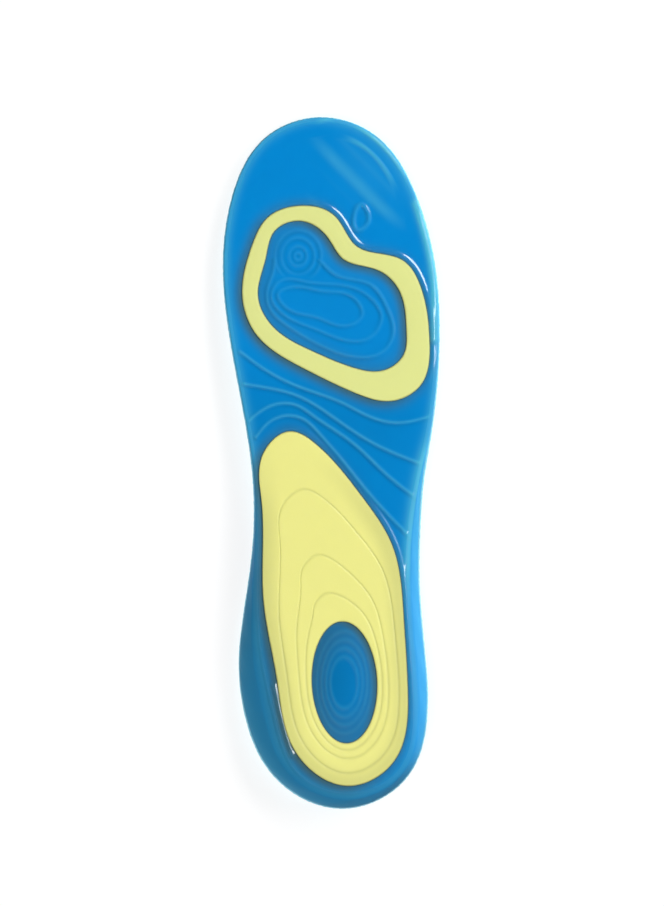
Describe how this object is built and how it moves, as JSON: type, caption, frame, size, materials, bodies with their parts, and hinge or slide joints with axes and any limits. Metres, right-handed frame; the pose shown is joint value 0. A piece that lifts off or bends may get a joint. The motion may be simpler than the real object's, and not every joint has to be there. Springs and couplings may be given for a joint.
{
  "type": "insole",
  "caption": "Cushioned gel shoe insole for the left foot: brushed fabric over a clear blue gel base with a forefoot ring and a heel and arch pad, and a heel cup.",
  "frame": {"origin": "under the middle of the outline, on the floor that the two yellow pads rest on", "axes": "+Z is the foot side, +Y runs from heel to toe, +X is the arch (inner) side of the left foot"},
  "size_m": [0.0874, 0.2799, 0.0147],
  "materials": {
    "fabric_cover": "light blue brushed knit",
    "bonding_film": "thin pale adhesive film",
    "blue_gel": "clear blue moulded gel, glossy",
    "yellow_pad": "pale yellow firmer gel, matte"
  },
  "bodies": {
    "rear_half": {"gel_base_rear": "blue_gel", "heel_arch_support": "yellow_pad", "bonding_film_rear": "bonding_film", "top_cover_rear": "fabric_cover"},
    "front_half": {"gel_base_front": "blue_gel", "forefoot_ring": "yellow_pad", "bonding_film_front": "bonding_film", "top_cover_front": "fabric_cover"}
  },
  "joints": [
    {"name": "toe_flex", "type": "hinge", "parent": "rear_half", "child": "front_half", "pos_m": [0, 0.021, 0.005], "axis": [0.9336, 0.3584, 0], "range_deg": [0, 50], "stiffness_Nm_per_rad": 0.08}
  ]
}
